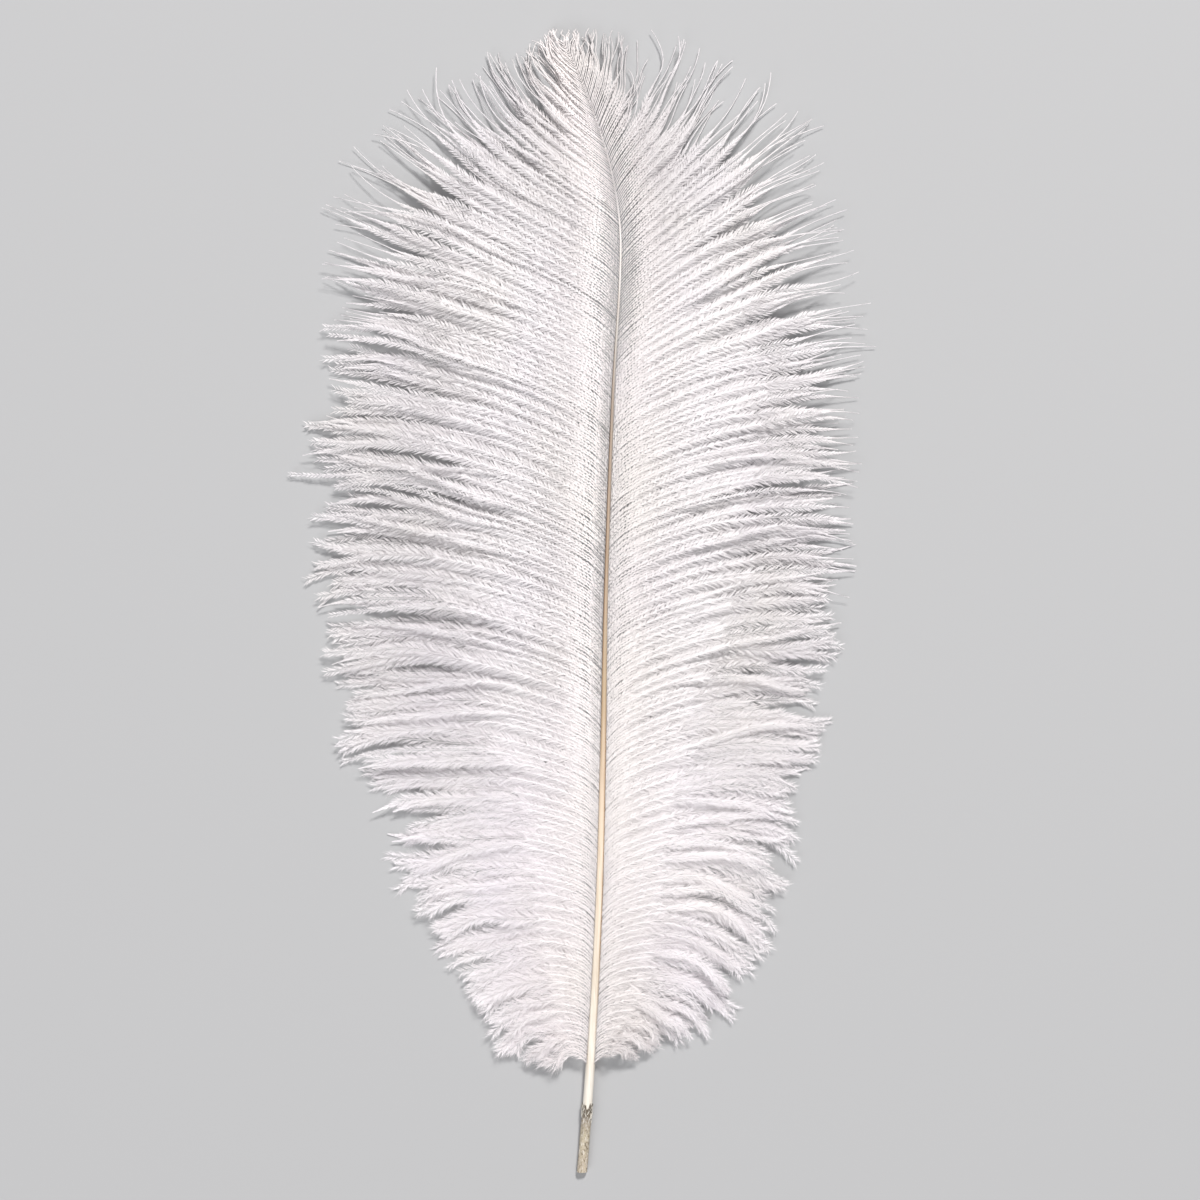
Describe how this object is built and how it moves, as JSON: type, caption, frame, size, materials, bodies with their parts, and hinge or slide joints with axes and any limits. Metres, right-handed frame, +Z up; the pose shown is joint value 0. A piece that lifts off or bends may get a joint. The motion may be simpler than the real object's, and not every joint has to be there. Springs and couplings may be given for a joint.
{
  "type": "ostrich feather",
  "caption": "White ostrich plume lying flat: a tapering shaft with a bare cut quill, between two wide soft vanes of loose, fluffy barbs, curled over at the tip.",
  "frame": {"origin": "centre of the footprint, on the surface that the feather lies on", "axes": "+Y along the shaft from the cut quill end to the tip, +X towards the right-hand vane seen from above with the tip up, +Z up out of the surface"},
  "size_m": [0.109, 0.2286, 0.0078],
  "materials": {
    "shaft": "smooth horn, ivory at the quill and golden tan along the rachis, satin sheen",
    "down": "soft white barbs and barbules, matte with a faint cool tint"
  },
  "bodies": {
    "root": {"shaft": "shaft", "vane_left": "down", "vane_right": "down"}
  },
  "joints": []
}
